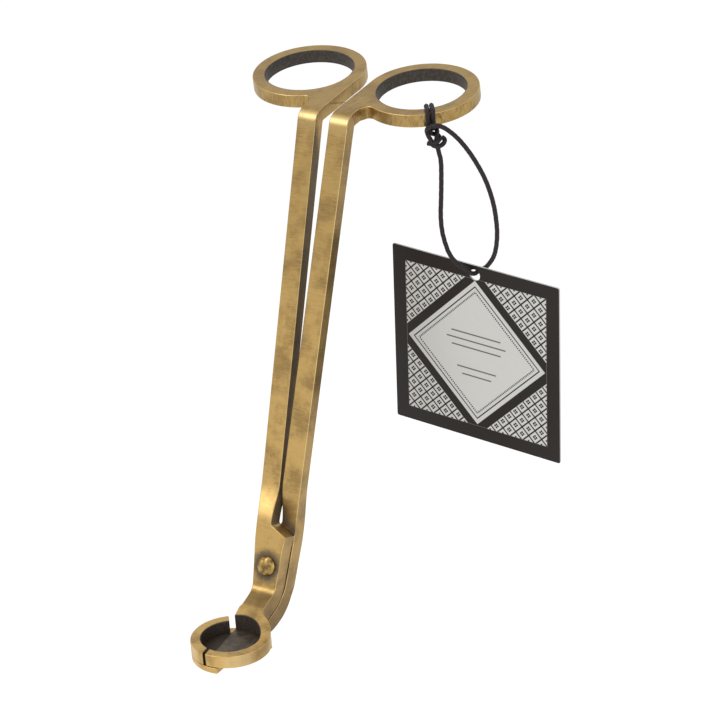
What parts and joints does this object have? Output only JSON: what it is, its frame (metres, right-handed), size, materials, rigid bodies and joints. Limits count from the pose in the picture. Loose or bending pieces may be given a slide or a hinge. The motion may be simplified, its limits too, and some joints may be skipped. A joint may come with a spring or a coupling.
{
  "type": "wick trimmer",
  "caption": "Long-handled candle wick trimmer with bent finger rings, a round catch dish at the jaws, and a square swing tag on a knotted elastic cord.",
  "frame": {"origin": "midway between the two finger holes, in the middle plane of the finger rings", "axes": "+Z is the axis of the finger holes, up out of the rings; +X points to the ring that carries the tag; +Y points away from the jaws"},
  "size_m": [0.0894, 0.1103, 0.1187],
  "materials": {
    "antique_brass": "brushed antique brass with dark patina in the recesses",
    "dark_brass": "dark oxidised brass",
    "cord": "braided elastic cord",
    "card": "printed card, matt"
  },
  "bodies": {
    "rear_lever": {"rear_lever": "antique_brass", "rear_half_rim": "antique_brass", "pivot_rivet": "antique_brass", "pivot_washer": "dark_brass"},
    "front_lever": {"front_lever": "antique_brass", "upper_cutting_plate": "dark_brass"},
    "cord": {"cord_hitch": "cord", "cord_knot": "cord", "cord_loop": "cord"},
    "tag": {"swing_tag": "card"}
  },
  "joints": [
    {"name": "jaw_pivot", "type": "hinge", "parent": "rear_lever", "child": "front_lever", "pos_m": [0, -0.06522, -0.10098], "axis": [0, -0.9135, 0.4067], "range_deg": [0, 32]},
    {"name": "cord_swing", "type": "hinge", "parent": "rear_lever", "child": "cord", "pos_m": [0.02431, -0.00967, 0], "axis": [0.766, 0.6428, 0], "range_deg": [-12, 12]},
    {"name": "tag_swing", "type": "hinge", "parent": "cord", "child": "tag", "pos_m": [0.0348, -0.0135, -0.0394], "axis": [-0.0509, -0.9963, 0.0697], "range_deg": [-20, 20]}
  ]
}
